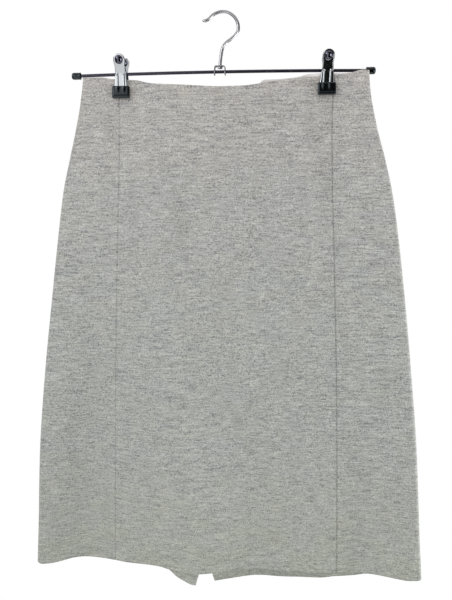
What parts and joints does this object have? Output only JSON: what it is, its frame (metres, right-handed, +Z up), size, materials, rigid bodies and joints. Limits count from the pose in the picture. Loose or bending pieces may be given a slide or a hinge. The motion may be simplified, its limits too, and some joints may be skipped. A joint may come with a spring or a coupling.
{
  "type": "a-line skirt on a clip hanger",
  "caption": "Knee-length A-line skirt of grey melange knit with a back slit, hung by its waist from a metal clip hanger with a swivel hook.",
  "frame": {"origin": "underside of the hook's crown, where a rail or peg holds the hanger", "axes": "+Z up, +X to the right as the front is seen, the skirt's front faces -Y"},
  "size_m": [0.5002, 0.0563, 0.7397],
  "materials": {
    "knit": "matt melange double knit",
    "dark_steel": "dark nickel, satin",
    "chrome": "polished plating",
    "rubber": "semi-gloss black"
  },
  "bodies": {
    "root": {"front_centre_panel": "knit", "front_side_panel_left": "knit", "front_side_panel_right": "knit", "back_panel_left": "knit", "back_panel_right": "knit", "hanger_bar": "dark_steel", "bar_cap_left": "rubber", "bar_cap_right": "rubber", "hanger_hook": "chrome", "hook_bracket": "chrome", "clip_left_front_jaw": "chrome", "clip_left_back_jaw": "chrome", "clip_left_front_boot": "rubber", "clip_left_back_boot": "rubber", "clip_left_spring": "dark_steel", "clip_right_front_jaw": "chrome", "clip_right_back_jaw": "chrome", "clip_right_front_boot": "rubber", "clip_right_back_boot": "rubber", "clip_right_spring": "dark_steel"}
  },
  "joints": []
}
